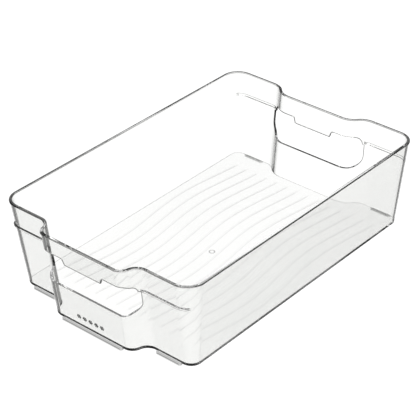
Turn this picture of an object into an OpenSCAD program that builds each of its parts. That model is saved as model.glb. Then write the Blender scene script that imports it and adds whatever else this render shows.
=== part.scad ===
// Clear fridge bin with a bowed front and a hand hole at each end.
// X runs across the bin, Y from the front (-) to the rear (+), Z up.
// The origin is the middle of the footprint, on the plane that the feet stand on.

/* [Overall size] */
// Length over the rim, from the bowed front to the rear
bin_length = 370; // [300:1:420]
// Width over the rim
rim_width = 237.5; // [190:0.5:280]
// Height of the rim above the underside of the floor
wall_height = 98; // [90:1:130]

/* [Walls] */
// Thickness of the walls
wall_t = 2.5; // [1.5:0.1:3]
// Thickness of the floor
floor_t = 2.4; // [1.8:0.1:4]
// Outward lean of the two side walls, in degrees
side_lean = 5.4; // [2:0.1:7]
// Outward lean of the front wall, in degrees
front_lean = 8.1; // [4:0.1:10]
// Outward lean of the rear wall, in degrees
rear_lean = 4.7; // [2:0.1:7]
// Corner radius at the floor, on the outside
base_corner_r = 11.5; // [9:0.5:16]
// Corner radius at the rim, on the outside of the wall
rim_corner_r = 18.6; // [14:0.2:24]

/* [Rim] */
// Width of the thickened rim
rim_w = 3.2; // [2.2:0.1:4]
// Height of the thickened rim
rim_h = 1.5; // [1:0.1:4]

/* [Handle ends] */
// Half width of the flat part of the front handle panel
front_panel_half = 41; // [30:1:50]
// Half width of the flat part of the rear handle panel
rear_panel_half = 35; // [28:1:44]
// Distance from the middle to where a curved flank meets the flat wing
flank_end = 64; // [62:1:72]
// How far the front handle panel stands out from its wings
front_bow = 18; // [8:1:20]
// How far the rear handle panel stands in from its wings
rear_recess = 13.3; // [6:0.1:16]
// How much wider the front panel gets towards the rim, and the rear one towards the floor, each side
flank_draft = 1.5; // [0:0.1:3]

/* [Hand holes] */
// Half width of a hand hole
hole_half = 57; // [52:1:61]
// Half width of a hand hole above the stacking ledges
hole_high_half = 55; // [50:1:60]
// Height of a hole's lower edge above the floor's underside
hole_low = 42; // [30:1:48]
// Height of a hole's upper edge above the floor's underside
hole_high = 77.2; // [74:0.2:82]
// Radius of a hole's lower corners
hole_low_r = 15; // [8:1:20]
// Radius of a hole's upper corners
hole_high_r = 8; // [4:1:9]
// Half width of the finger tab, at its lower edge
tab_half = 22; // [15:1:30]
// How far the finger tab hangs below the hole's upper edge
tab_drop = 6.5; // [3:0.5:8]
// Sideways run of each sloping end of the finger tab
tab_run = 3; // [2:0.5:6]

/* [Stacking ledges] */
// Height of a ledge's underside above the floor's underside
ledge_z = 70; // [66:0.5:71]
// Height of a ledge's band
ledge_h = 2.3; // [1.5:0.1:3]
// How far a ledge stands out from the wall
ledge_out = 1.6; // [1:0.1:3]

/* [Floor] */
// Number of wavy ripples on the floor
ripple_count = 14; // [6:1:14]
// Distance between the middles of neighbouring ripples
ripple_pitch = 14; // [10:0.5:14]
// Width of a ripple
ripple_w = 3.2; // [1.5:0.1:5]
// Height of a ripple
ripple_h = 0.2; // [0.1:0.1:1.2]
// Sideways swing of a ripple either way
ripple_swing = 4.6; // [0:0.1:6]
// Length of one full wave of a ripple
ripple_wave = 211; // [120:1:300]
// Outer diameter of the moulding gate's ring
gate_d = 6.6; // [4:0.2:10]
// Width of the gate ring's band
gate_band = 1.2; // [0.8:0.1:1.8]
// Height of the gate ring below the floor
gate_h = 0.5; // [0.3:0.1:1]
// Distance of the gate ring behind the bin's middle
gate_y = 4; // [0:0.5:12]
// Clear floor between the ends of the ripples and the end walls
ripple_margin = 22; // [15:1:40]

/* [Feet] */
// Height of the feet
foot_h = 2.4; // [1.5:0.1:4]
// Width of a foot, across the wall that it stands under
foot_w = 5; // [4:0.5:7]
// Length of the foot under the front handle panel
front_mid_foot_l = 78; // [40:1:80]
// Length of each outer front foot
front_foot_l = 31; // [20:1:34]
// Distance of each outer front foot's middle from the bin's middle
front_foot_x = 80; // [78:0.5:82]
// Length of each rear foot
rear_foot_l = 25; // [15:1:30]
// Distance of each rear foot's middle from the bin's middle
rear_foot_x = 84.5; // [80:0.5:86]

/* [Printed mark] */
// Number of snowflakes in the printed row
flake_count = 5; // [1:1:7]
// Width of one snowflake
flake_d = 5.6; // [4:0.2:8]
// Distance between the middles of neighbouring snowflakes
flake_pitch = 7.4; // [6:0.1:10]
// Height of the row's middle above the floor's underside
mark_z = 12.5; // [8:0.5:30]
// Width of a snowflake's arms
flake_arm = 0.6; // [0.4:0.1:1]
// Length of a snowflake's twigs
flake_twig = 1.1; // [0.8:0.1:1.6]
// Distance of the twigs from a snowflake's middle
twig_start = 1.5; // [1:0.1:2.5]
// Thickness of the ink
ink_t = 0.12; // [0.1:0.01:0.3]

/* [Hidden] */

clear_plastic = [0.93, 0.96, 0.95, 0.45];
edge_plastic = [0.72, 0.76, 0.76, 0.6];
ink = [0.2, 0.2, 0.22];

arc_steps = 8;      // facets in a quarter of a corner
flank_steps = 6;    // facets in each of a flank's two arcs
tail_steps = 3;     // facets in the end of a flank beside a hand hole
wave_steps = 48;    // facets along a ripple
past = 10;          // how far a cutting prism runs past the wall
eps = 0.01;

z_floor = foot_h;                        // underside of the floor
z_rim = foot_h + wall_height;            // top of the rim
z_bead = z_rim - rim_h;                  // underside of the thickened rim
z_split = foot_h + ledge_z;              // a handle panel ends and its grip band starts
rim_overhang = rim_w - wall_t;           // how far the rim stands out from the wall

// Where the outer faces of the walls are at the rim
top_x = rim_width / 2 - rim_overhang;
top_rear = bin_length / 2 - rim_overhang;
top_front = -(bin_length / 2 - rim_overhang) + front_bow;

// Everything below works from a height z above the feet.
function drop(z) = z_rim - z;
function outer_x(z) = top_x - drop(z) * tan(side_lean);
function rear_y(z) = top_rear - drop(z) * tan(rear_lean);
function front_y(z) = top_front + drop(z) * tan(front_lean);
function corner_r(z) = rim_corner_r - (rim_corner_r - base_corner_r) * drop(z) / wall_height;
function widen(z, end) = flank_draft * (end > 0 ? drop(z) : wall_height - drop(z)) / wall_height;

// The S-shaped flank is two tangent arcs of one radius. w is its run across, d its depth.
function flank_r(w, d) = (w * w + d * d) / (4 * d);
function flank_angle(w, d) = 2 * atan2(d, w);

// Half of an end wall in plan, from the middle outwards, for a panel that stands d further to -Y
// than its wings. wide moves the flank outwards and shift moves the curve square to itself,
// towards +Y.
function flank(panel_half, wide, d, wing_y, shift) =
    let (w = flank_end - panel_half, r = flank_r(w, d), turn = flank_angle(w, d))
    concat(
        [for (i = [0 : flank_steps])
            let (a = turn * i / flank_steps)
            [panel_half + wide + (r - shift) * sin(a), wing_y - d + r - (r - shift) * cos(a)]],
        [for (i = [flank_steps - 1 : -1 : 0])
            let (a = turn * i / flank_steps)
            [flank_end + wide - (r + shift) * sin(a), wing_y - r + (r + shift) * cos(a)]]);

// A corner in plan, from angle a0 to a1, moved in by inset
function corner(z, end, a0, a1, inset) =
    let (r = corner_r(z),
         cx = outer_x(z) - r,
         cy = (end > 0 ? rear_y(z) - r : front_y(z) + r))
    [for (i = [0 : arc_steps])
        let (a = a0 + (a1 - a0) * i / arc_steps)
        [cx + (r - inset) * cos(a), cy + (r - inset) * sin(a)]];

// The two ends differ in where the wings are and how deep the S is. end is -1 in front, 1 at the rear.
function end_flank(z, end, inset) =
    end > 0 ? flank(rear_panel_half, widen(z, end), rear_recess, rear_y(z), -inset)
            : flank(front_panel_half, widen(z, end), front_bow, front_y(z), inset);
function end_half(end) = end > 0 ? rear_panel_half : front_panel_half;

function flip(points) = [for (p = points) [-p[0], p[1]]];
function reversed(points) = [for (i = [len(points) - 1 : -1 : 0]) points[i]];
function both_sides(points) = concat(reversed(flip(points)), points);

// A whole end of the bin in plan, left to right, moved in by inset
function end_curve(z, end, inset) =
    both_sides(concat(end_flank(z, end, inset), corner(z, end, 90 * end, 0, inset)));

// A solid through a stack of levels. A level lies between a right-hand curve and a left-hand curve,
// which run the same way and have the same number of points.
module stack(rights, lefts, heights) {
    n = len(rights[0]);
    row = 2 * n;
    last = len(heights) - 1;
    up = last * row;
    points = [for (k = [0 : last])
        for (p = concat(rights[k], lefts[k])) [p[0], p[1], heights[k]]];
    right_faces = [for (k = [0 : last - 1]) for (i = [0 : n - 2])
        let (a = k * row + i) [a, a + row, a + 1 + row, a + 1]];
    left_faces = [for (k = [0 : last - 1]) for (i = [0 : n - 2])
        let (a = k * row + n + i) [a + 1, a + 1 + row, a + row, a]];
    start_faces = [for (k = [0 : last - 1])
        let (a = k * row) [a + n, a + n + row, a + row, a]];
    end_faces = [for (k = [0 : last - 1])
        let (a = k * row + n - 1) [a, a + row, a + n + row, a + n]];
    bottom = [for (i = [0 : n - 2]) [i, i + 1, n + i + 1, n + i]];
    top = [for (i = [0 : n - 2]) [up + n + i, up + n + i + 1, up + i + 1, up + i]];
    polyhedron(points, concat(right_faces, left_faces, start_faces, end_faces, bottom, top),
               convexity = 6);
}

// A wall through a stack of levels. end says which face is on the right-hand side: the outer face
// in front and at the side, the inner face at the rear.
module wall(outer_faces, inner_faces, heights, end = -1) {
    if (end > 0) stack(inner_faces, outer_faces, heights);
    else stack(outer_faces, inner_faces, heights);
}

// Everything inside a run of levels of the whole bin, moved in by insets
module filled(heights, insets) {
    levels = [0 : len(heights) - 1];
    stack([for (k = levels) end_curve(heights[k], -1, insets[k])],
          [for (k = levels) end_curve(heights[k], 1, insets[k])], heights);
}

// A hand hole's outline: across is X, up is Z
function hole_arc(cx, cz, r, a0) =
    [for (i = [0 : arc_steps]) let (a = a0 + 90 * i / arc_steps) [cx + r * cos(a), cz + r * sin(a)]];
function hole_right() =
    concat(hole_arc(hole_half - hole_low_r, hole_low + hole_low_r, hole_low_r, -90),
           [[hole_half, hole_high - hole_high_r]],
           hole_arc(hole_high_half - hole_high_r, hole_high - hole_high_r, hole_high_r, 0),
           [[tab_half + tab_run, hole_high], [tab_half, hole_high - tab_drop]]);
module hole_outline() {
    polygon(concat(hole_right(), reversed(flip(hole_right()))));
}

// A prism through an end wall, with the outline standing in the XZ plane
module through_end(end) {
    y = (end > 0 ? rear_y(z_rim) + past : front_y(z_floor) + past);
    reach = front_bow + rear_recess + 3 * past;
    translate([0, y, z_floor]) rotate([90, 0, 0]) linear_extrude(reach) children();
}

// ---- floor ----

module floor_pan() {
    heights = [z_floor, z_floor + floor_t];
    color(clear_plastic) filled(heights, [wall_t, wall_t]);
}

// One wavy strip in plan, centred on x
function ripple_x(y) = -ripple_swing * sin(360 * y / ripple_wave);
module ripple(x, half_length) {
    ys = [for (i = [0 : wave_steps]) -half_length + 2 * half_length * i / wave_steps];
    right = [for (y = ys) [x + ripple_x(y) + ripple_w / 2, y]];
    left = [for (y = reversed(ys)) [x + ripple_x(y) - ripple_w / 2, y]];
    linear_extrude(ripple_h) polygon(concat(right, left));
}

module floor_ripples() {
    floor_half = (rear_y(z_floor) - front_y(z_floor)) / 2;
    middle = (rear_y(z_floor) + front_y(z_floor)) / 2;
    color(clear_plastic)
    for (i = [0 : ripple_count - 1])
        translate([0, middle, z_floor + floor_t])
            ripple((i - (ripple_count - 1) / 2) * ripple_pitch, floor_half - ripple_margin);
}

module gate_mark() {
    color(edge_plastic)
    translate([0, gate_y, z_floor - gate_h])
    difference() {
        cylinder(d = gate_d, h = gate_h, $fn = 48);
        translate([0, 0, -eps]) cylinder(d = gate_d - 2 * gate_band, h = gate_h + 2 * eps, $fn = 48);
    }
}

// ---- feet ----

module foot(x, y, length) {
    translate([x, y, 0]) linear_extrude(foot_h) {
        square([length - foot_w, foot_w], center = true);
        for (side = [-1, 1]) translate([side * (length - foot_w) / 2, 0]) circle(d = foot_w, $fn = 32);
    }
}

module base_feet() {
    front = front_y(z_floor);
    color(edge_plastic) {
        foot(0, front - front_bow, front_mid_foot_l);
        for (side = [-1, 1]) {
            foot(side * front_foot_x, front, front_foot_l);
            foot(side * rear_foot_x, rear_y(z_floor), rear_foot_l);
        }
    }
}

// ---- side walls and corners ----

function side_line(z, inset) =
    let (x = outer_x(z) - inset, r = corner_r(z))
    [[x, front_y(z) + r], [x, rear_y(z) - r]];

module right_side_wall_shape() {
    heights = [z_floor, z_bead];
    wall([for (z = heights) side_line(z, 0)], [for (z = heights) side_line(z, wall_t)], heights);
}

module right_side_wall() {
    color(clear_plastic) right_side_wall_shape();
}

module left_side_wall() {
    color(clear_plastic) mirror([1, 0, 0]) right_side_wall_shape();
}

module right_corner_shape(end) {
    heights = [z_floor, z_bead];
    wall([for (z = heights) corner(z, end, 90 * end, 0, 0)],
         [for (z = heights) corner(z, end, 90 * end, 0, wall_t)], heights, end);
}

module front_right_corner() {
    color(clear_plastic) right_corner_shape(-1);
}

module front_left_corner() {
    color(clear_plastic) mirror([1, 0, 0]) right_corner_shape(-1);
}

module rear_right_corner() {
    color(clear_plastic) right_corner_shape(1);
}

module rear_left_corner() {
    color(clear_plastic) mirror([1, 0, 0]) right_corner_shape(1);
}

// ---- end walls ----

// The flat wing between a flank and a corner, moved in by inset
function wing_line(z, end, inset) =
    let (y = (end > 0 ? rear_y(z) - inset : front_y(z) + inset))
    [[flank_end + widen(z, end), y], [outer_x(z) - corner_r(z), y]];

module right_wing_shape(end) {
    heights = [z_floor, z_bead];
    wall([for (z = heights) wing_line(z, end, 0)], [for (z = heights) wing_line(z, end, wall_t)],
         heights, end);
}

module front_right_wing() {
    color(clear_plastic) right_wing_shape(-1);
}

module front_left_wing() {
    color(clear_plastic) mirror([1, 0, 0]) right_wing_shape(-1);
}

module rear_right_wing() {
    color(clear_plastic) right_wing_shape(1);
}

module rear_left_wing() {
    color(clear_plastic) mirror([1, 0, 0]) right_wing_shape(1);
}

// The bowed middle of an end wall, flank to flank
module bowed_wall(end, z0, z1) {
    heights = [z0, z1];
    wall([for (z = heights) both_sides(end_flank(z, end, 0))],
         [for (z = heights) both_sides(end_flank(z, end, wall_t))], heights, end);
}

module handle_panel(end) {
    color(clear_plastic)
    difference() {
        bowed_wall(end, z_floor, z_split);
        through_end(end) hole_outline();
    }
}

module grip_band(end) {
    color(clear_plastic)
    difference() {
        bowed_wall(end, z_split, z_bead);
        through_end(end) hole_outline();
    }
}

module front_handle_panel() {
    handle_panel(-1);
}

module front_grip_band() {
    grip_band(-1);
}

module rear_handle_panel() {
    handle_panel(1);
}

module rear_grip_band() {
    grip_band(1);
}

// ---- stacking ledges ----

// The short stretch of a flank from the flat wing to the side of the hand hole
function flank_tail(z, end, inset) =
    let (d = (end > 0 ? rear_recess : front_bow), r = flank_r(flank_end - end_half(end), d),
         shift = (end > 0 ? -inset : inset), wing_y = (end > 0 ? rear_y(z) : front_y(z)),
         tail_x = flank_end + widen(z, end), turn = asin((tail_x - hole_half) / r))
    [for (i = [tail_steps : -1 : 0])
        let (a = turn * i / tail_steps)
        [tail_x - (r + shift) * sin(a), wing_y - r + (r + shift) * cos(a)]];

// A ledge's face in plan: hand hole, wing, then half way round the corner
function ledge_line(z, end, inset) =
    let (a0 = 90 * end)
    concat(flank_tail(z, end, inset), corner(z, end, a0, a0 / 2, inset));

module right_ledge_shape(end) {
    heights = [z_split, z_split + ledge_h];
    wall([for (z = heights) ledge_line(z, end, -ledge_out)], [for (z = heights) ledge_line(z, end, 0)],
         heights, end);
}

module front_right_ledge() {
    color(edge_plastic) right_ledge_shape(-1);
}

module front_left_ledge() {
    color(edge_plastic) mirror([1, 0, 0]) right_ledge_shape(-1);
}

module rear_right_ledge() {
    color(edge_plastic) right_ledge_shape(1);
}

module rear_left_ledge() {
    color(edge_plastic) mirror([1, 0, 0]) right_ledge_shape(1);
}

// ---- rim ----

// The whole outline of the bin in plan, moved in by inset
function outline(z, inset) = concat(end_curve(z, -1, inset), reversed(end_curve(z, 1, inset)));

// A closed ring through a stack of levels, between an outer loop and an inner loop at each level
module ring(outers, inners, heights) {
    n = len(outers[0]);
    row = 2 * n;
    last = len(heights) - 1;
    up = last * row;
    points = [for (k = [0 : last])
        for (p = concat(outers[k], inners[k])) [p[0], p[1], heights[k]]];
    outer_faces = [for (k = [0 : last - 1]) for (i = [0 : n - 1])
        let (a = k * row + i, b = k * row + (i + 1) % n) [a, a + row, b + row, b]];
    inner_faces = [for (k = [0 : last - 1]) for (i = [0 : n - 1])
        let (a = k * row + n + i, b = k * row + n + (i + 1) % n) [b, b + row, a + row, a]];
    bottom = [for (i = [0 : n - 1]) let (j = (i + 1) % n) [i, j, n + j, n + i]];
    top = [for (i = [0 : n - 1]) let (j = (i + 1) % n) [up + n + i, up + n + j, up + j, up + i]];
    polyhedron(points, concat(outer_faces, inner_faces, bottom, top), convexity = 6);
}

module rim_bead() {
    edge = rim_overhang / 2;
    heights = [z_bead, z_bead + edge, z_rim - edge, z_rim];
    insets = [-edge, -rim_overhang, -rim_overhang, -edge];
    color(edge_plastic)
    ring([for (k = [0 : len(heights) - 1]) outline(heights[k], insets[k])],
         [for (z = heights) outline(z, wall_t)], heights);
}

// ---- printed mark ----

// One six-armed snowflake, with a pair of twigs on each arm
module flake() {
    for (a = [0 : 60 : 300]) rotate(a) {
        translate([0, -flake_arm / 2]) square([flake_d / 2, flake_arm]);
        for (side = [-1, 1])
            translate([twig_start, 0]) rotate(side * 60) translate([0, -flake_arm / 2])
                square([flake_twig, flake_arm]);
    }
}

module printed_mark() {
    z = z_floor + mark_z;
    color(ink)
    translate([0, front_y(z) - front_bow, z]) rotate([90 + front_lean, 0, 0])
        for (i = [0 : flake_count - 1])
            translate([(i - (flake_count - 1) / 2) * flake_pitch, 0, 0]) linear_extrude(ink_t) flake();
}

floor_pan();
floor_ripples();
gate_mark();
base_feet();
left_side_wall();
right_side_wall();
front_left_corner();
front_right_corner();
rear_left_corner();
rear_right_corner();
front_left_wing();
front_right_wing();
front_handle_panel();
front_grip_band();
rear_left_wing();
rear_right_wing();
rear_handle_panel();
rear_grip_band();
front_left_ledge();
front_right_ledge();
rear_left_ledge();
rear_right_ledge();
rim_bead();
printed_mark();
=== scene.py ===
"""Looks of the clear fridge bin: one clear moulding with a printed mark, on a white studio floor."""
import math

import bmesh
import bpy
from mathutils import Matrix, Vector


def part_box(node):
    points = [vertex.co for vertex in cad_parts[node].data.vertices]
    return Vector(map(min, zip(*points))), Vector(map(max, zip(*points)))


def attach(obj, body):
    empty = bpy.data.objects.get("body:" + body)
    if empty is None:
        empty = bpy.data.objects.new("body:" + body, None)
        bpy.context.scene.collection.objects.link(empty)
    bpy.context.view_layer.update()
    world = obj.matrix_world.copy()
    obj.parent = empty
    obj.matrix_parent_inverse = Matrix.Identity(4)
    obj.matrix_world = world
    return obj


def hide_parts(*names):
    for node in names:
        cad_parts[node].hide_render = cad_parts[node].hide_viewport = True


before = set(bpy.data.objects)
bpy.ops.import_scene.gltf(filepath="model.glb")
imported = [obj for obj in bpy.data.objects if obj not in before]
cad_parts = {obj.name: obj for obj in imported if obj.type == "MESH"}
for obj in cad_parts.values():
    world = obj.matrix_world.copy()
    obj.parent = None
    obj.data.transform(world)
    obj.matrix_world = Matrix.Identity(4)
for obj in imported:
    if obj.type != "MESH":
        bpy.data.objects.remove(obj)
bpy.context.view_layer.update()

MM = 0.001


def box_mm(node):
    """Lowest and highest corner of a CAD node, in millimetres."""
    low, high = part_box(node)
    return Vector(low) / MM, Vector(high) / MM


# ---- sizes, in millimetres, all taken from the frame's own boxes or named here ----

RIM_LOW, RIM_HIGH = box_mm("rim_bead")
FLOOR_LOW, FLOOR_HIGH = box_mm("floor_pan")
Z_FLOOR = FLOOR_LOW.z              # underside of the floor
Z_FLOOR_TOP = FLOOR_HIGH.z
Z_RIM = RIM_HIGH.z                 # top of the rim bead
Z_BEAD = RIM_LOW.z                 # underside of the rim bead

WALL = 2.5                         # wall thickness
RIM_OUT = 0.7                      # how far the rim bead stands out from the wall
RIM_R = 1.3                        # rounding of the bead's outer edge
RIM_INNER_R = 0.3                  # rounding of its inner edge
SIDE_LEAN = math.radians(5.4)      # how far the walls lean outwards
FRONT_LEAN = math.radians(8.1)
REAR_LEAN = math.radians(4.7)
BASE_CORNER_R = 11.5
RIM_CORNER_R = 18.6
PANEL_HALF = {-1: 41.0, 1: 35.0}   # half width of the flat panel: front, rear
BOW = {-1: 18.0, 1: 13.3}          # how far the panel stands towards -Y from its wings
FLANK_END = 64.0                   # where the curved flank meets the wing
FLANK_DRAFT = 1.5                  # how much wider the bow gets from the floor to the rim, each side
Y_MIDDLE = 12.0                    # where the front half of a side meets its rear half

TOP_X = RIM_HIGH.x - RIM_OUT
TOP_REAR = RIM_HIGH.y - RIM_OUT
TOP_FRONT = RIM_LOW.y + RIM_OUT + BOW[-1]

HOLE_HALF = 57.0                   # half width of a hand hole at the ledges and below
HOLE_HIGH_HALF = 55.0              # its half width near the top
HOLE_LOW = Z_FLOOR + 42.0
HOLE_HIGH = Z_FLOOR + 77.2
HOLE_LOW_R = 15.0                  # radius of the hole's lower corners
HOLE_HIGH_R = 8.0                  # radius of its upper corners
TAB_HALF = 22.0                    # half width of the finger tab that hangs into the hole
TAB_RUN = 3.0                      # width of the slope at each end of the tab
TAB_DROP = 6.5                     # how far the tab hangs down
EDGE_HIGH_R = 1.1                  # rounding of the hole's upper and side edges
EDGE_LOW_R = 0.35                  # rounding of its lower edge
EDGE_LOW_UP_TO = -0.8              # the edge counts as lower while it points down by this much
EDGE_CHANGE = 0.6                  # and changes to the upper rounding over this much

FILLET_OUT = 0.5                   # rounding between wall and underside
FILLET_IN = 0.4                    # rounding between wall and floor inside
LEDGE_Z = Z_FLOOR + 70.0
LEDGE_H = 2.3
LEDGE_OUT = 1.6                    # how far a ledge stands out from the wall
LEDGE_EASE = 0.45                  # rounding of the ledge's upper edge
LEDGE_EASE_LOW = 0.12              # rounding of its lower edge
LEDGE_GAP = 0.4                    # distance from the hole's side to the start of a ledge
LEDGE_FADE = 1.4                   # a ledge grows over this length
LEDGE_PAST_WING = 1.55             # station where a ledge ends, counted from the wing's start
LEDGE_END_FADE = 0.2               # a ledge dies away over this many stations

RIPPLES = 14
RIPPLE_PITCH = 14.0
RIPPLE_W = 3.2
RIPPLE_H = 0.2
RIPPLE_SWING = 4.6                 # how far a ripple swings to each side
RIPPLE_WAVE = 211.0                # length of one whole swing
RIPPLE_HALF_L = 142.0
RIPPLE_Y = Y_MIDDLE                # middle of a ripple's length
RIPPLE_FADE = 5.0                  # a ripple dies away over this length at each end
RIPPLE_SINK = 0.8                  # how deep it goes into the floor, so that the two join
RIPPLE_EDGE = 0.01                 # its edges lie this far below the floor's top
RIPPLE_ACROSS = 8                  # facets across a ripple
RIPPLE_ALONG = 72                  # and along it

FOOT_W = 5.0
FOOT_UP = 0.3                      # how far a foot runs up into the floor, so that the two join
FOOT_EDGE = 0.15                   # rounding of its lower edge
FOOT_END_STEPS = 12                # facets in each of its round ends
# A foot's profile as inset and height, from its sole up into the floor
FOOT_PROFILE = ((FOOT_EDGE, 0.0), (FOOT_EDGE * 0.3, FOOT_EDGE * 0.3), (0.0, FOOT_EDGE),
                (0.0, Z_FLOOR), (0.06, Z_FLOOR + 0.21), (0.21, Z_FLOOR + FOOT_UP))
# Each foot: x of its middle, end of the bin (-1 is the front) and length
FEET = ((0.0, -1, 78.0), (-80.0, -1, 31.0), (80.0, -1, 31.0), (-84.5, 1, 25.0), (84.5, 1, 25.0))

GATE_Y = 4.0
GATE_R = 2.7                       # radius of the gate ring, to the middle of its band
GATE_BAND_R = 0.55                 # half width of the band
GATE_BAND_H = GATE_BAND_R * 0.9    # how far the band stands out
GATE_STEPS = 40                    # facets round the ring
GATE_BAND_STEPS = 10               # facets round its band

SHARP_ANGLE = math.radians(38)     # edges that turn more than this stay sharp


def smooth(t):
    """0 to 1 with soft ends."""
    t = min(1.0, max(0.0, t))
    return t * t * (3.0 - 2.0 * t)


# ---- the plan of the bin: where the wall is at a station s, a height z and an inset ----

def outer_x(z):
    """The x of the side wall's outer face."""
    return TOP_X - (Z_RIM - z) * math.tan(SIDE_LEAN)


def wing_y(end, z):
    """The y of a wing's outer face. The end is -1 for the front and 1 for the rear."""
    if end > 0:
        return TOP_REAR - (Z_RIM - z) * math.tan(REAR_LEAN)
    return TOP_FRONT + (Z_RIM - z) * math.tan(FRONT_LEAN)


def corner_r(z):
    """Radius of a corner's outer face, which grows from the floor to the rim."""
    return RIM_CORNER_R - (RIM_CORNER_R - BASE_CORNER_R) * (Z_RIM - z) / (Z_RIM - Z_FLOOR)


def flank_r(end):
    """Radius of the two equal arcs that make the S-shaped flank."""
    w = FLANK_END - PANEL_HALF[end]
    d = BOW[end]
    return (w * w + d * d) / (4 * d)


def flank_turn(end):
    """Angle that each of the two arcs turns through."""
    return 2 * math.atan2(BOW[end], FLANK_END - PANEL_HALF[end])


def wing_start(end):
    """Station where the curved flank ends. Up to here a station is the length along the wall."""
    return PANEL_HALF[end] + 2 * flank_r(end) * flank_turn(end)


def widen(end, z):
    """How far the flanks stand out here. The front bow widens upwards and the rear one downwards."""
    up = (z - Z_FLOOR) / (Z_RIM - Z_FLOOR)
    return FLANK_DRAFT * (1 - up if end > 0 else up)


def plan(end, s, z, inset):
    """The wall in plan on the right-hand side. Stations past wing_start count 1 for the wing,
    1 for the corner and 1 for half of the side."""
    y = wing_y(end, z)
    half, r, start = PANEL_HALF[end], flank_r(end), wing_start(end)
    shift = -end * inset
    wide = widen(end, z)
    if s <= half:
        return s * (1 + wide / half), y - BOW[end] + shift
    if s <= half + r * flank_turn(end):
        a = (s - half) / r
        return half + wide + (r - shift) * math.sin(a), y - BOW[end] + r - (r - shift) * math.cos(a)
    flank_x = FLANK_END + wide
    if s <= start:
        a = (start - s) / r
        return flank_x - (r + shift) * math.sin(a), y - r + (r + shift) * math.cos(a)
    rc = corner_r(z)
    cx, cy = outer_x(z) - rc, y - end * rc
    t = s - start
    if t <= 1:
        return flank_x + (cx - flank_x) * t, y + shift
    if t <= 2:
        a = math.radians(90) * (2 - t)
        return cx + (rc - inset) * math.cos(a), cy + end * (rc - inset) * math.sin(a)
    return outer_x(z) - inset, cy + (Y_MIDDLE - cy) * (t - 2)


def point(end, s, z, inset):
    """A point of the wall in space. The inset is counted inwards from the outer face."""
    x, y = plan(end, s, z, inset)
    return (x, y, z)


def plan_x(end, s):
    """The x of a station, before the flanks are widened."""
    x = plan(end, s, Z_FLOOR, 0)[0]
    return x - widen(end, Z_FLOOR) * min(1.0, s / PANEL_HALF[end])


def station_at(end, x):
    """Station on the panel or flank that has this x before the flanks are widened."""
    half, r, start = PANEL_HALF[end], flank_r(end), wing_start(end)
    if x <= half:
        return x
    middle = (half + FLANK_END) / 2
    if x <= middle:
        return half + r * math.asin((x - half) / r)
    return start - r * math.asin((FLANK_END - x) / r)


# ---- the hand hole's outline ----

def hole_bottom(x):
    """Height of the hole's lower edge."""
    over = max(0.0, x - (HOLE_HALF - HOLE_LOW_R))
    return HOLE_LOW + HOLE_LOW_R - math.sqrt(max(0.0, HOLE_LOW_R ** 2 - over ** 2))


def hole_top(x):
    """Height of the hole's upper edge, with the finger tab."""
    over = max(0.0, x - (HOLE_HIGH_HALF - HOLE_HIGH_R))
    z = HOLE_HIGH - HOLE_HIGH_R + math.sqrt(max(0.0, HOLE_HIGH_R ** 2 - over ** 2))
    return z - TAB_DROP * (1 - smooth((x - TAB_HALF) / TAB_RUN))


# The shell's columns are closest together where the hole's outline bends most
TAB_COLUMNS = 4                    # columns on the flat half of the tab
SLOPE_COLUMNS = (-1.5, -0.4, 0.3, 0.9, 1.5, 2.1, 2.7, 3.4, 5, 8, 11)   # x from the slope's start
PANEL_GAP = 1                      # least distance to the column at the panel's side
FLANK_STEP = 0.9                   # largest distance between columns on the flank
CORNER_COLUMNS = (-1.2, -0.8, -0.45, -0.2, -0.05, 0.05)     # x from the hole's upper side
LOW_CORNER_COLUMNS = (64, 68, 72, 76, 80, 84, 87, 90)       # degrees round its lower corner


def hole_columns(end):
    """Pairs of x and station from the middle of a hole to its side."""
    flat = [TAB_HALF * k / TAB_COLUMNS for k in range(TAB_COLUMNS)]
    flat += [TAB_HALF + dx for dx in SLOPE_COLUMNS]
    columns = [(x, x) for x in flat if x < PANEL_HALF[end] - PANEL_GAP]
    s = PANEL_HALF[end]
    run = station_at(end, HOLE_HIGH_HALF + CORNER_COLUMNS[0]) - s
    steps = math.ceil(run / FLANK_STEP)
    for i in range(steps + 1):
        si = s + run * i / steps
        columns.append((plan_x(end, si), si))
    for dx in CORNER_COLUMNS[1:]:
        x = HOLE_HIGH_HALF + dx
        columns.append((x, station_at(end, x)))
    for degrees in LOW_CORNER_COLUMNS:
        x = HOLE_HALF - HOLE_LOW_R * (1 - math.sin(math.radians(degrees)))
        columns.append((x, station_at(end, x)))
    return columns


# ---- the moulding's shell ----

LOW = (0, 0.06, 0.15, 0.3, 0.5, 0.7, 0.85, 0.94, 1)     # rows below the hole's side, as 0 to 1
SIDE_Z0 = HOLE_LOW + HOLE_LOW_R    # the straight side of the hole starts
SIDE_Z1 = HOLE_HIGH - HOLE_HIGH_R  # and ends
SIDE_STEPS = 4
WALL_TOP_OUT = Z_BEAD - RIM_OUT    # the outer face of the wall ends
WALL_TOP_IN = Z_RIM - RIM_INNER_R  # the inner face of the wall ends
EASE_ROWS = (-1, -0.6, -0.2, 0.2, 0.6, 1)      # rows across the rounding of a ledge's edge
ABOVE_LEDGE_STEPS = 6
RING = 12                          # facets in the two roundings of the hole's edge
FILLET_STEPS = 5
RIM_STEPS = 5
UNDER_BEAD = 0.2                   # the bead's underside curves in over this part of RIM_OUT
BESIDE_HOLE = (0.42, 0.55, 0.7, 0.85, 1)       # columns from the hole's side to the wing, as 0 to 1
WING_STEPS = 6
CORNER_STEPS = 16
HALF_SIDE_STEPS = 8


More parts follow.
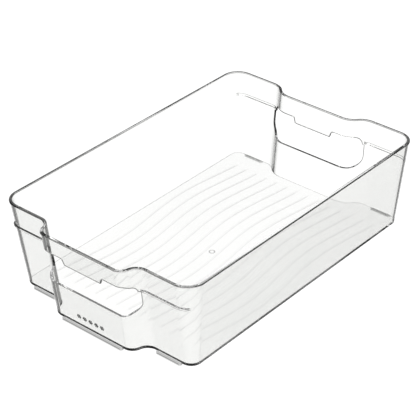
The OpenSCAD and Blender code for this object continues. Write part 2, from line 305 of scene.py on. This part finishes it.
def high_rows():
    """Heights of the outer rows above the hole's side, as 0 to 1."""
    z = [SIDE_Z1]
    for edge, ease in ((LEDGE_Z, LEDGE_EASE_LOW), (LEDGE_Z + LEDGE_H, LEDGE_EASE)):
        z += [edge + ease * k for k in EASE_ROWS]
    left = WALL_TOP_OUT - z[-1]
    z += [z[-1] + left * k / ABOVE_LEDGE_STEPS for k in range(1, ABOVE_LEDGE_STEPS + 1)]
    return [(h - SIDE_Z1) / (WALL_TOP_OUT - SIDE_Z1) for h in z]


HIGH = high_rows()


def ledge(end, s, z):
    """How far the ledge stands out here."""
    up = smooth((z - LEDGE_Z + LEDGE_EASE_LOW) / (2 * LEDGE_EASE_LOW))
    down = smooth((LEDGE_Z + LEDGE_H + LEDGE_EASE - z) / (2 * LEDGE_EASE))
    along = smooth((s - station_at(end, HOLE_HALF) - LEDGE_GAP) / LEDGE_FADE)
    before_end = smooth((wing_start(end) + LEDGE_PAST_WING - s) / LEDGE_END_FADE)
    return LEDGE_OUT * up * down * along * before_end


def edge_r(out_z):
    """Rounding of the hole's edge, from how far the edge's outward direction points up."""
    return EDGE_LOW_R + (EDGE_HIGH_R - EDGE_LOW_R) * smooth((out_z - EDGE_LOW_UP_TO) / EDGE_CHANGE)


def ring_profile(r):
    """Distance from the hole's edge and depth into the wall, from the outer face to the inner one."""
    half = []
    for k in range(RING // 2 + 1):
        a = math.radians(90) * k / (RING // 2)
        half.append((r * (1 - math.sin(a)), r * (1 - math.cos(a))))
    return half + [(d, WALL - depth) for d, depth in reversed(half)]


def boundary(end):
    """The right half of a hole's outline: station, height and outward direction."""
    columns = hole_columns(end)
    low = [(s, hole_bottom(x)) for x, s in columns]
    side_s = columns[-1][1]
    side = [(side_s, SIDE_Z0 + (SIDE_Z1 - SIDE_Z0) * k / SIDE_STEPS) for k in range(1, SIDE_STEPS)]
    high = [(s, hole_top(x)) for x, s in reversed(columns)]
    loop = low + side + high
    made = []
    for i, (s, z) in enumerate(loop):
        s0, z0 = loop[i - 1] if i > 0 else (-loop[1][0], loop[1][1])
        s1, z1 = loop[i + 1] if i < len(loop) - 1 else (-loop[-2][0], loop[-2][1])
        length = math.hypot(s1 - s0, z1 - z0)
        made.append((s, z, (z1 - z0) / length, -(s1 - s0) / length))
    return made


def wall_edge(spot):
    """Station and height where the flat face of the wall starts, beside this point of the outline."""
    s, z, out_s, out_z = spot
    return s + out_s * edge_r(out_z), z + out_z * edge_r(out_z)


def ring(end, spot):
    """The rounded edge of the hole at one point of its outline, from the outer face to the inner one."""
    s, z, out_s, out_z = spot
    profile = ring_profile(edge_r(out_z))
    return [point(end, s + out_s * d, z + out_z * d, depth) for d, depth in profile]


def skin(end, s, z, inner):
    """A point of the wall's inner face, or of its outer face with the ledge."""
    return point(end, s, z, WALL if inner else -ledge(end, s, z))


def fillet(end, s, inner):
    """The rounded foot of the wall, from the flat floor to the start of the wall."""
    rows = []
    for k in range(FILLET_STEPS):
        a = math.radians(90) * k / FILLET_STEPS
        if inner:
            rows.append(point(end, s, Z_FLOOR_TOP + FILLET_IN * (1 - math.cos(a)),
                              WALL + FILLET_IN * (1 - math.sin(a))))
        else:
            rows.append(point(end, s, Z_FLOOR + FILLET_OUT * (1 - math.cos(a)),
                              FILLET_OUT * (1 - math.sin(a))))
    return rows


def rim(end, s):
    """The bead along the top, from the outer face over to the inner one."""
    rows = [(-RIM_OUT * (1 - UNDER_BEAD), Z_BEAD - RIM_OUT * UNDER_BEAD), (-RIM_OUT, Z_BEAD)]
    for r, middle, a0 in ((RIM_R, -RIM_OUT + RIM_R, 180), (RIM_INNER_R, WALL - RIM_INNER_R, 90)):
        for k in range(RIM_STEPS + 1):
            a = math.radians(a0 - 90 * k / RIM_STEPS)
            rows.append((middle + r * math.cos(a), Z_RIM - r * (1 - math.sin(a))))
    return [point(end, s, z, inset) for inset, z in rows[:-1]]


def wall_z(inner):
    """Height where a face of the wall starts, above the rounding at its foot."""
    return Z_FLOOR_TOP + FILLET_IN if inner else Z_FLOOR + FILLET_OUT


def low_rows(end, s, target, inner):
    """Rows of one skin from the floor's rounding up to a station and height."""
    z0 = wall_z(inner)
    ts, tz = target
    return [skin(end, s + (ts - s) * f * f, z0 + (tz - z0) * f, inner) for f in LOW]


def high_column(end, s, target, inner):
    """Rows of one skin from a station and height up to the rim."""
    ts, tz = target
    top = WALL_TOP_IN if inner else WALL_TOP_OUT
    return [skin(end, s + (ts - s) * (1 - f) ** 2, tz + (top - tz) * f, inner) for f in HIGH]


def solid_stations(end):
    """Stations beside the hole: end of the flank, wing, corner and half of the side."""
    side = station_at(end, HOLE_HALF)
    start = wing_start(end)
    near = [side + (start - side) * t for t in BESIDE_HOLE]
    wing = [start + k / WING_STEPS for k in range(1, WING_STEPS + 1)]
    corner = [start + 1 + k / CORNER_STEPS for k in range(1, CORNER_STEPS + 1)]
    flat = [start + 2 + k / HALF_SIDE_STEPS for k in range(1, HALF_SIDE_STEPS + 1)]
    return near + wing + corner + flat


class Skin:
    """Collects points and faces, and joins points that are in the same place."""

    def __init__(self):
        self.mesh = bmesh.new()
        self.known = {}

    def vertex(self, p):
        """The mesh's vertex at a point in millimetres, made only once."""
        key = tuple(round(c, 3) for c in p)
        if key not in self.known:
            self.known[key] = self.mesh.verts.new([c * MM for c in p])
        return self.known[key]

    def face(self, points):
        """A face through these points. Points that coincide count once."""
        corners = []
        for p in points:
            v = self.vertex(p)
            if v not in corners:
                corners.append(v)
        if len(corners) > 2:
            self.mesh.faces.new(corners)

    def strip(self, a, b):
        """Faces between two rows of points."""
        for i in range(len(a) - 1):
            self.face((a[i], a[i + 1], b[i + 1], b[i]))

    def hoops(self, loops):
        """Faces between closed loops of points."""
        for a, b in zip(loops, loops[1:]):
            self.strip(a + [a[0]], b + [b[0]])

    def finished(self):
        """The mesh, with all its faces turned outwards."""
        bmesh.ops.recalc_face_normals(self.mesh, faces=self.mesh.faces)
        return self.mesh


def add_half_end(out, end, mirror):
    """One quarter of the walls. The mirror is 1 for the right-hand side, -1 for the left.
    Gives the wall's lowest points, outside and inside, for the floor."""
    def flipped(points):
        return [(mirror * x, y, z) for x, y, z in points]

    spots = boundary(end)
    stations = [s for x, s in hole_columns(end)]
    count = len(stations)
    lower = []
    upper = []
    for j, s in enumerate(stations):
        for rows, spot in ((lower, spots[j]), (upper, spots[-1 - j])):
            hoop = ring(end, spot)
            target = wall_edge(spot)
            if rows is lower:
                outside = fillet(end, s, False) + low_rows(end, s, target, False)[:-1]
                inside = fillet(end, s, True) + low_rows(end, s, target, True)[:-1]
                rows.append(flipped(outside + hoop + inside[::-1]))
            else:
                outside = high_column(end, s, target, False)[1:] + rim(end, s)
                inside = high_column(end, s, target, True)[1:]
                rows.append(flipped(hoop[::-1] + outside + inside[::-1] + [hoop[-1]]))
    for rows in (lower, upper):
        for a, b in zip(rows, rows[1:]):
            out.strip(a, b)

    side_spots = spots[count - 1:count + SIDE_STEPS]
    hoops = [flipped(ring(end, spot)) for spot in side_spots]
    for a, b in zip(hoops, hoops[1:]):
        out.strip(a, b)

    columns = []
    heights = [SIDE_Z0 + (SIDE_Z1 - SIDE_Z0) * k / SIDE_STEPS for k in range(SIDE_STEPS + 1)]
    beside_hole = (stations[-1], [wall_edge(spot) for spot in side_spots])
    beyond = [(s, [(s, z) for z in heights]) for s in solid_stations(end)]
    for s, targets in [beside_hole] + beyond:
        whole = []
        for inner in (False, True):
            skins = fillet(end, s, inner) + low_rows(end, s, targets[0], inner)
            skins += [skin(end, ts, tz, inner) for ts, tz in targets[1:-1]]
            skins += high_column(end, s, targets[-1], inner)
            whole.append(skins)
        columns.append(flipped(whole[0] + rim(end, s) + whole[1][::-1]))
    for a, b in zip(columns, columns[1:]):
        out.strip(a, b)
    around = lower[:-1] + columns
    return [c[0] for c in around], [c[-1] for c in around]


def shell_mesh():
    """The walls and the floor as one closed skin."""
    out = Skin()
    quarters = {(end, m): add_half_end(out, end, m) for end in (-1, 1) for m in (1, -1)}
    for inner in (0, 1):
        loop = quarters[(-1, 1)][inner] + quarters[(1, 1)][inner][::-1]
        loop += quarters[(1, -1)][inner] + quarters[(-1, -1)][inner][::-1]
        out.face(loop)
    return out.finished()


# ---- small features, each a closed solid that is joined to the shell ----

def ripple_mesh(x0):
    """One wavy ripple with a soft hump for its cross-section, sunk a little into the floor."""
    out = Skin()
    sections = []
    for i in range(RIPPLE_ALONG + 1):
        y = -RIPPLE_HALF_L + 2 * RIPPLE_HALF_L * i / RIPPLE_ALONG
        swing = -RIPPLE_SWING * math.sin(2 * math.pi * y / RIPPLE_WAVE)
        rise = RIPPLE_H * smooth((RIPPLE_HALF_L - abs(y)) / RIPPLE_FADE)
        section = [(x0 + swing + RIPPLE_W / 2, y + RIPPLE_Y, Z_FLOOR_TOP - RIPPLE_SINK),
                   (x0 + swing - RIPPLE_W / 2, y + RIPPLE_Y, Z_FLOOR_TOP - RIPPLE_SINK)]
        for k in range(RIPPLE_ACROSS + 1):
            u = k / RIPPLE_ACROSS - 0.5
            hump = rise * math.cos(math.pi * u) ** 2 - RIPPLE_EDGE
            section.append((x0 + swing + u * RIPPLE_W, y + RIPPLE_Y, Z_FLOOR_TOP + hump))
        sections.append(section)
    out.hoops(sections)
    out.face(sections[0])
    out.face(sections[-1])
    return out.finished()


def foot_mesh(x0, end, length):
    """A low pad with round ends, under the outer edge of an end wall."""
    out = Skin()
    y0 = wing_y(end, Z_FLOOR) - (BOW[end] if x0 == 0 else 0)
    loops = []
    for inset, z in FOOT_PROFILE:
        r = FOOT_W / 2 - inset
        loop = []
        for side in (1, -1):
            for k in range(FOOT_END_STEPS + 1):
                a = math.radians(-90 + 180 * k / FOOT_END_STEPS)
                x = x0 + side * ((length - FOOT_W) / 2 + r * math.cos(a))
                loop.append((x, y0 + side * r * math.sin(a), z))
        loops.append(loop)
    out.hoops(loops)
    out.face(loops[0])
    out.face(loops[-1])
    return out.finished()


def gate_mesh():
    """The raised ring round the moulding gate, half sunk into the floor's underside."""
    out = Skin()
    loops = []
    for i in range(GATE_STEPS):
        a = 2 * math.pi * i / GATE_STEPS
        loop = []
        for k in range(GATE_BAND_STEPS):
            b = 2 * math.pi * k / GATE_BAND_STEPS
            r = GATE_R + GATE_BAND_R * math.cos(b)
            z = Z_FLOOR + GATE_BAND_H * math.sin(b)
            loop.append((r * math.cos(a), GATE_Y + r * math.sin(a), z))
        loops.append(loop)
    out.hoops(loops + [loops[0]])
    return out.finished()


def as_object(name, mesh_data):
    """An object in the scene from a bmesh, which is used up."""
    mesh = bpy.data.meshes.new(name)
    mesh_data.to_mesh(mesh)
    mesh_data.free()
    made = bpy.data.objects.new(name, mesh)
    bpy.context.scene.collection.objects.link(made)
    return made


def join_solids(base, extras):
    """Unites closed solids into base, and removes them."""
    for extra in extras:
        step = base.modifiers.new("join", "BOOLEAN")
        step.operation = "UNION"
        step.solver = "MANIFOLD"
        step.object = extra
    graph = bpy.context.evaluated_depsgraph_get()
    mesh = bpy.data.meshes.new_from_object(base.evaluated_get(graph))
    base.modifiers.clear()
    base.data = mesh
    for extra in extras:
        bpy.data.objects.remove(extra, do_unlink=True)


def bin_moulding():
    """The whole moulding as one seamless object."""
    shell = as_object("bin_moulding", shell_mesh())
    features = [ripple_mesh((i - (RIPPLES - 1) / 2) * RIPPLE_PITCH) for i in range(RIPPLES)]
    features += [foot_mesh(*foot) for foot in FEET]
    features.append(gate_mesh())
    join_solids(shell, [as_object("extra", feature) for feature in features])
    shell.data.shade_smooth()
    shell.data.set_sharp_from_angle(angle=SHARP_ANGLE)
    soften = shell.modifiers.new("normals", "WEIGHTED_NORMAL")
    soften.keep_sharp = True
    return shell


# ---- materials ----

def math_node(tree, operation, a, b=None):
    """A math node. Each input is a number or a socket."""
    made = tree.nodes.new("ShaderNodeMath")
    made.operation = operation
    for slot_in, value in zip(made.inputs, (a, b)):
        if isinstance(value, (int, float)):
            slot_in.default_value = value
        elif value is not None:
            tree.links.new(value, slot_in)
    return made.outputs[0]


def vector_node(tree, operation, a, b=None):
    """A vector math node. Each input is a socket."""
    made = tree.nodes.new("ShaderNodeVectorMath")
    made.operation = operation
    for slot_in, value in zip(made.inputs, (a, b)):
        if value is not None:
            tree.links.new(value, slot_in)
    return made


def map_range(tree, value, low, high, to_low, to_high, smooth_steps=False):
    """Maps low...high to to_low...to_high and stops at both ends."""
    made = tree.nodes.new("ShaderNodeMapRange")
    if smooth_steps:
        made.interpolation_type = "SMOOTHSTEP"
    tree.links.new(value, made.inputs["Value"])
    for name, number in zip(("From Min", "From Max", "To Min", "To Max"), (low, high, to_low, to_high)):
        made.inputs[name].default_value = number
    return made.outputs["Result"]


def noise(tree, where, scale, detail):
    """Smooth noise around 0.5."""
    made = tree.nodes.new("ShaderNodeTexNoise")
    made.inputs["Scale"].default_value = scale
    made.inputs["Detail"].default_value = detail
    tree.links.new(where, made.inputs["Vector"])
    return made.outputs["Fac"]


def stretched(tree, where, scale, degrees):
    """Coordinates that are turned about Z and scaled per axis, for streaks."""
    made = tree.nodes.new("ShaderNodeMapping")
    made.inputs["Scale"].default_value = scale
    made.inputs["Rotation"].default_value = (0.0, 0.0, math.radians(degrees))
    tree.links.new(where, made.inputs["Vector"])
    return made.outputs["Vector"]


def blend(tree, amount, first, second):
    """A colour between two colours."""
    made = tree.nodes.new("ShaderNodeMix")
    made.data_type = "RGBA"
    made.inputs["A"].default_value = first
    made.inputs["B"].default_value = second
    tree.links.new(amount, made.inputs["Factor"])
    return made.outputs["Result"]


def bump(tree, body, height, strength, distance):
    """Raises a material's surface by a height socket."""
    made = tree.nodes.new("ShaderNodeBump")
    made.inputs["Strength"].default_value = strength
    made.inputs["Distance"].default_value = distance
    tree.links.new(height, made.inputs["Height"])
    tree.links.new(made.outputs["Normal"], body.inputs["Normal"])


def new_material(name):
    """A material, its node tree and its main shader."""
    made = bpy.data.materials.new(name)
    made.use_nodes = True
    return made, made.node_tree, made.node_tree.nodes["Principled BSDF"]


PLASTIC_IOR = 1.48
CLEAR_TINT = (0.995, 0.996, 0.988, 1)
CLOUDY_TINT = (0.98, 0.985, 0.975, 1)
CLOUD_SCALE = 14.0
CLOUD_TINTED = (0.35, 0.7)         # range of the cloudy noise over which the tint sets in
CLOUD_HAZED = (0.3, 0.75)          # and over which the surface gets hazy
HAZE_ROUGHNESS = 0.012
STREAK_STRETCH = (40.0, 900.0, 300.0)
STREAK_DEGREES = 27.0
SCRATCHED = (0.68, 0.74)           # range of the streaks over which they turn into scratches
SCRATCH_ROUGHNESS = 0.03
SCUFF_HEIGHT = 1.2 * MM            # the feet are scuffed up to this height
SCUFF_ROUGHNESS = 0.22
SCUFF_SCALE = 420.0
FLOW_SCALE = 45.0                  # waves that the flowing plastic leaves in the surface
FLOW_BUMP = 0.02
FLOW_BUMP_H = 1.0 * MM
STREAK_BUMP = 0.008                # share of the streaks in the bump


def clear_plastic():
    """Clear moulded plastic: nearly flawless, with flow waves, faint scratches and scuffed feet."""
    made, tree, body = new_material("clear_plastic")
    body.inputs["IOR"].default_value = PLASTIC_IOR
    body.inputs["Transmission Weight"].default_value = 1.0

    where = tree.nodes.new("ShaderNodeTexCoord").outputs["Object"]
    cloudy = noise(tree, where, CLOUD_SCALE, 3.0)
    tint = blend(tree, map_range(tree, cloudy, *CLOUD_TINTED, 0.0, 1.0), CLEAR_TINT, CLOUDY_TINT)
    tree.links.new(tint, body.inputs["Base Color"])

    streaks = noise(tree, stretched(tree, where, STREAK_STRETCH, STREAK_DEGREES), 1.0, 2.0)
    scratches = map_range(tree, streaks, *SCRATCHED, 0.0, SCRATCH_ROUGHNESS)
    haze = map_range(tree, cloudy, *CLOUD_HAZED, 0.0, HAZE_ROUGHNESS)
    height = tree.nodes.new("ShaderNodeSeparateXYZ")
    tree.links.new(where, height.inputs[0])
    scuffed = map_range(tree, height.outputs["Z"], 0.0, SCUFF_HEIGHT, SCUFF_ROUGHNESS, 0.0)
    worn = math_node(tree, "MULTIPLY", scuffed, noise(tree, where, SCUFF_SCALE, 2.0))
    rough = math_node(tree, "ADD", math_node(tree, "ADD", scratches, haze), worn)
    tree.links.new(rough, body.inputs["Roughness"])

    flow = noise(tree, where, FLOW_SCALE, 1.0)
    waves = math_node(tree, "ADD", flow, math_node(tree, "MULTIPLY", streaks, STREAK_BUMP))
    bump(tree, body, waves, FLOW_BUMP, FLOW_BUMP_H)

    # Shadow rays and diffuse rays go straight through, so that the plastic throws no dark shadow
    through = tree.nodes.new("ShaderNodeBsdfTransparent")
    through.inputs["Color"].default_value = CLEAR_TINT
    path = tree.nodes.new("ShaderNodeLightPath")
    either = math_node(tree, "MAXIMUM", path.outputs["Is Shadow Ray"], path.outputs["Is Diffuse Ray"])
    mix = tree.nodes.new("ShaderNodeMixShader")
    tree.links.new(either, mix.inputs["Fac"])
    tree.links.new(body.outputs["BSDF"], mix.inputs[1])
    tree.links.new(through.outputs["BSDF"], mix.inputs[2])
    tree.links.new(mix.outputs[0], tree.nodes["Material Output"].inputs["Surface"])
    return made


INK_FULL = (0.012, 0.012, 0.014, 1)
INK_THIN = (0.06, 0.06, 0.065, 1)
INK_SCALE = 900.0
INK_THINNED = (0.4, 0.75)          # range of the grain over which the ink gets thin
INK_ROUGHENED = (0.3, 0.7)         # and over which it gets rougher
INK_ROUGHNESS = (0.38, 0.6)
INK_BUMP = 0.15
INK_BUMP_H = 0.05 * MM


def dark_ink():
    """Pad-printed ink: dark grey, slightly uneven, with a fine grain."""
    made, tree, body = new_material("dark_ink")
    where = tree.nodes.new("ShaderNodeTexCoord").outputs["Object"]
    grain = noise(tree, where, INK_SCALE, 3.0)
    shade = blend(tree, map_range(tree, grain, *INK_THINNED, 0.0, 1.0), INK_FULL, INK_THIN)
    tree.links.new(shade, body.inputs["Base Color"])
    tree.links.new(map_range(tree, grain, *INK_ROUGHENED, *INK_ROUGHNESS), body.inputs["Roughness"])
    bump(tree, body, grain, INK_BUMP, INK_BUMP_H)
    return made


# ---- studio ----

# The floor's glow is painted light and shade. It goes dark where the plastic bends the view, which
# paints the dark lines at the bin's rim, edges and outline. It stays bright right under the plastic,
# which paints light into the feet.
FLOOR_LIGHT = 1.11                 # the floor's own brightness, seen straight
FLOOR_BENT_LIGHT = 0.18            # its brightness where the plastic bends the view strongly
BEND_START = 4.0                   # degrees of bending
BEND_END = 20.0
FLOOR_NEAR_LIGHT = 0.85            # brightness of the floor right under the plastic, however it bends
NEAR_START = 1.5 * MM              # the ray's last stretch, up to which the floor counts as near
NEAR_END = 6.0 * MM                # and from which it doesn't


def bright_field(tree):
    """How bright the floor is to a ray: full straight from the camera, and dark when bent. The dark part
    is painted shade, which draws the bin's dark lines at rim and edges, and the near part is painted
    light under the plastic.
    """
    nodes, links = tree.nodes, tree.links
    view = nodes.new("ShaderNodeCameraData").outputs["View Vector"]
    turn = nodes.new("ShaderNodeVectorTransform")
    turn.vector_type = "VECTOR"
    turn.convert_from = "CAMERA"
    turn.convert_to = "WORLD"
    links.new(view, turn.inputs[0])
    straight = vector_node(tree, "NORMALIZE", turn.outputs[0]).outputs["Vector"]
    incoming = nodes.new("ShaderNodeNewGeometry").outputs["Incoming"]
    dot = vector_node(tree, "DOT_PRODUCT", straight, incoming).outputs["Value"]
    cosine = math_node(tree, "MINIMUM", math_node(tree, "MULTIPLY", dot, -1.0), 1.0)
    angle = math_node(tree, "ARCCOSINE", cosine)
    seen = map_range(tree, angle, math.radians(BEND_START), math.radians(BEND_END),
                     FLOOR_LIGHT, FLOOR_BENT_LIGHT, smooth_steps=True)
    length = nodes.new("ShaderNodeLightPath").outputs["Ray Length"]
    near = map_range(tree, length, NEAR_START, NEAR_END, FLOOR_NEAR_LIGHT, 0.0)
    return math_node(tree, "MAXIMUM", seen, near)


CONTACT = 0.05 * MM                # the feet press this far into the floor, so no air gap mirrors it
FLOOR_HALF = 6.0                   # metres from the floor's middle to its edge
FLOOR_GREY = (0.06, 0.06, 0.06, 1)
FLOOR_ROUGHNESS = 0.9


def studio_floor():
    """A floor that gives its own light, with painted light and shade in its glow: white seen straight,
    dark where the plastic bends the view, and bright right under the plastic.
    """
    mesh = bmesh.new()
    bmesh.ops.create_grid(mesh, x_segments=1, y_segments=1, size=FLOOR_HALF)
    floor = as_object("studio_floor", mesh)
    floor.location.z = CONTACT
    made, tree, body = new_material("floor_glow_with_painted_shade")
    body.inputs["Base Color"].default_value = FLOOR_GREY
    body.inputs["Roughness"].default_value = FLOOR_ROUGHNESS
    body.inputs["Specular IOR Level"].default_value = 0.0
    body.inputs["Emission Color"].default_value = (1, 1, 1, 1)
    # painted shade and painted light: the glow follows how the plastic bends the view
    tree.links.new(bright_field(tree), body.inputs["Emission Strength"])
    floor.data.materials.append(made)


LAMP_PLACE = Vector((-0.3, 0.3, 1.8))
LAMP_SIZE = 1.2
LAMP_WATTS = 12.0


def overhead_lamp():
    """A soft lamp above the bin, aimed at its middle."""
    data = bpy.data.lights.new("overhead", "AREA")
    data.size = LAMP_SIZE
    data.energy = LAMP_WATTS
    lamp = bpy.data.objects.new("overhead", data)
    lamp.location = LAMP_PLACE
    lamp.rotation_euler = (-LAMP_PLACE).to_track_quat("-Z", "Y").to_euler()
    bpy.context.scene.collection.objects.link(lamp)


SKY_STRENGTH = 0.7
SKY_DARK = (0.12, 0.12, 0.12, 1)
SKY_BRIGHT = (1.0, 1.0, 1.0, 1)
SKY_DARK_UP_TO = 0.72              # sine of the elevation below which the room is dark
SKY_BRIGHT_FROM = 0.94             # and above which it is bright


def surroundings():
    """A soft room: bright overhead, darker towards the horizon."""
    world = bpy.data.worlds.new("studio")
    world.use_nodes = True
    bpy.context.scene.world = world
    tree = world.node_tree
    back = tree.nodes["Background"]
    place = tree.nodes.new("ShaderNodeNewGeometry")
    split = tree.nodes.new("ShaderNodeSeparateXYZ")
    tree.links.new(place.outputs["Incoming"], split.inputs[0])
    up = math_node(tree, "MULTIPLY", split.outputs["Z"], -1.0)
    ramp = tree.nodes.new("ShaderNodeValToRGB")
    dark, bright = ramp.color_ramp.elements
    dark.position = SKY_DARK_UP_TO
    dark.color = SKY_DARK
    bright.position = SKY_BRIGHT_FROM
    bright.color = SKY_BRIGHT
    tree.links.new(up, ramp.inputs["Fac"])
    tree.links.new(ramp.outputs["Color"], back.inputs["Color"])
    back.inputs["Strength"].default_value = SKY_STRENGTH


CAMERA_AZIMUTH = math.radians(40.14)
CAMERA_ELEVATION = math.radians(32.56)
CAMERA_DISTANCE = 1.6
CAMERA_AIM = Vector((0.0, 0.0009, 0.0549))
CAMERA_LENS = 138.6
CAMERA_SENSOR = 36.0
CAMERA_REACH = 50.0


def camera():
    """The camera in front of the bin's right-hand corner."""
    data = bpy.data.cameras.new("camera")
    data.lens = CAMERA_LENS
    data.sensor_width = CAMERA_SENSOR
    data.clip_end = CAMERA_REACH
    made = bpy.data.objects.new("camera", data)
    back = Vector((math.sin(CAMERA_AZIMUTH) * math.cos(CAMERA_ELEVATION),
                   -math.cos(CAMERA_AZIMUTH) * math.cos(CAMERA_ELEVATION),
                   math.sin(CAMERA_ELEVATION)))
    made.location = CAMERA_AIM + back * CAMERA_DISTANCE
    made.rotation_euler = back.to_track_quat("Z", "Y").to_euler()
    bpy.context.scene.collection.objects.link(made)
    bpy.context.scene.camera = made


LIGHT_BOUNCES = 40                 # light runs down inside the walls from the rim to the feet


def light_paths():
    """Colours as they are, and enough bounces for light that is caught inside the walls."""
    scene = bpy.context.scene
    scene.view_settings.view_transform = "Standard"
    scene.cycles.max_bounces = LIGHT_BOUNCES
    scene.cycles.transmission_bounces = LIGHT_BOUNCES
    scene.cycles.glossy_bounces = LIGHT_BOUNCES


moulding = bin_moulding()
moulding.data.materials.clear()
moulding.data.materials.append(clear_plastic())
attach(moulding, "root")
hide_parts(*[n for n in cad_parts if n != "printed_mark"])

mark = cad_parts["printed_mark"]
mark.data.materials.clear()
mark.data.materials.append(dark_ink())

studio_floor()
surroundings()
overhead_lamp()
camera()
light_paths()
